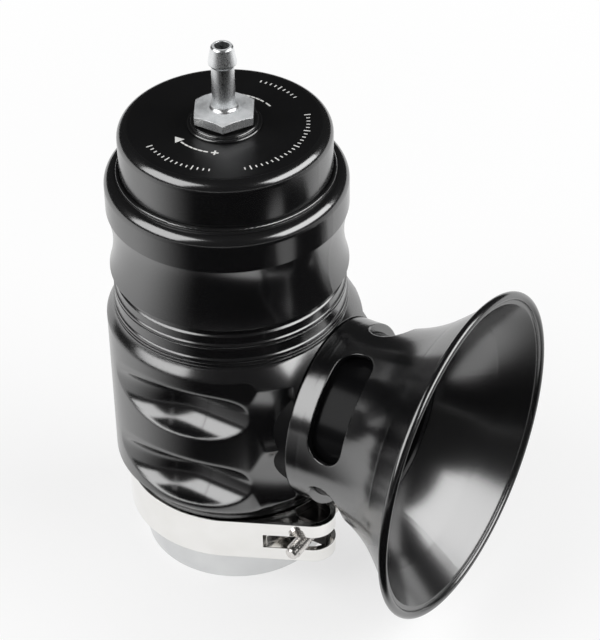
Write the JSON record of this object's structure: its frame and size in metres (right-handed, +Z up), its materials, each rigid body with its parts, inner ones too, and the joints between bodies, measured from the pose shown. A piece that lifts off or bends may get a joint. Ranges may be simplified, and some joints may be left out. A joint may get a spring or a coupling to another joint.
{
  "type": "blow off valve",
  "caption": "Spring-loaded blow off valve: ball-shaped body with milled scallops, clamped weld flange, domed cap with hose barb and adjuster, slotted flared trumpet on its side port.",
  "frame": {"origin": "centre of the inlet bore at the weld flange's lower face", "axes": "+Z up the valve's axis towards the hose barb, +X along the trumpet"},
  "size_m": [0.1127, 0.0964, 0.1671],
  "materials": {
    "black_anodised": "black anodised, glossy",
    "satin_aluminium": "satin",
    "polished_stainless": "mirror polished",
    "zinc_steel": "zinc plated",
    "spring_steel": "drawn wire",
    "rubber": "matt",
    "ptfe": "matt"
  },
  "bodies": {
    "valve": {"weld_flange": "satin_aluminium", "flange_oring": "rubber", "clamp_band": "polished_stainless", "clamp_v_segments": "polished_stainless", "clamp_barrel_nut": "zinc_steel", "clamp_plain_barrel": "zinc_steel", "clamp_bolt": "zinc_steel", "valve_body": "black_anodised", "retaining_collar": "black_anodised", "cap": "black_anodised", "cap_oring": "rubber", "trumpet": "black_anodised", "trumpet_oring": "rubber", "main_spring": "spring_steel"},
    "piston": {"piston": "satin_aluminium", "piston_seat_seal": "rubber", "piston_seal": "rubber", "piston_wear_ring": "ptfe"},
    "adjuster": {"adjuster": "black_anodised", "adjuster_oring": "rubber", "thrust_washer": "ptfe", "adjuster_circlip": "spring_steel", "barb_fitting": "zinc_steel", "fitting_seal": "rubber"},
    "spring_seat": {"spring_seat": "satin_aluminium"}
  },
  "joints": [
    {"name": "piston_lift", "type": "slide", "parent": "valve", "child": "piston", "axis": [0, 0, 1], "range_m": [0, 0.018], "stiffness_N_per_m": 2500, "springref_m": -0.02, "deforming": ["main_spring"]},
    {"name": "adjuster_turn", "type": "hinge", "parent": "valve", "child": "adjuster", "pos_m": [0, 0, 0.14292], "axis": [0, 0, -1], "range_deg": [0, 1800]},
    {"name": "spring_seat_travel", "type": "slide", "parent": "valve", "child": "spring_seat", "axis": [0, 0, -1], "range_m": [0, 0.01], "deforming": ["main_spring"]}
  ],
  "couplings": [
    {"joint": "adjuster_turn", "follows": "spring_seat_travel", "rad_per_m": 3141.6}
  ]
}
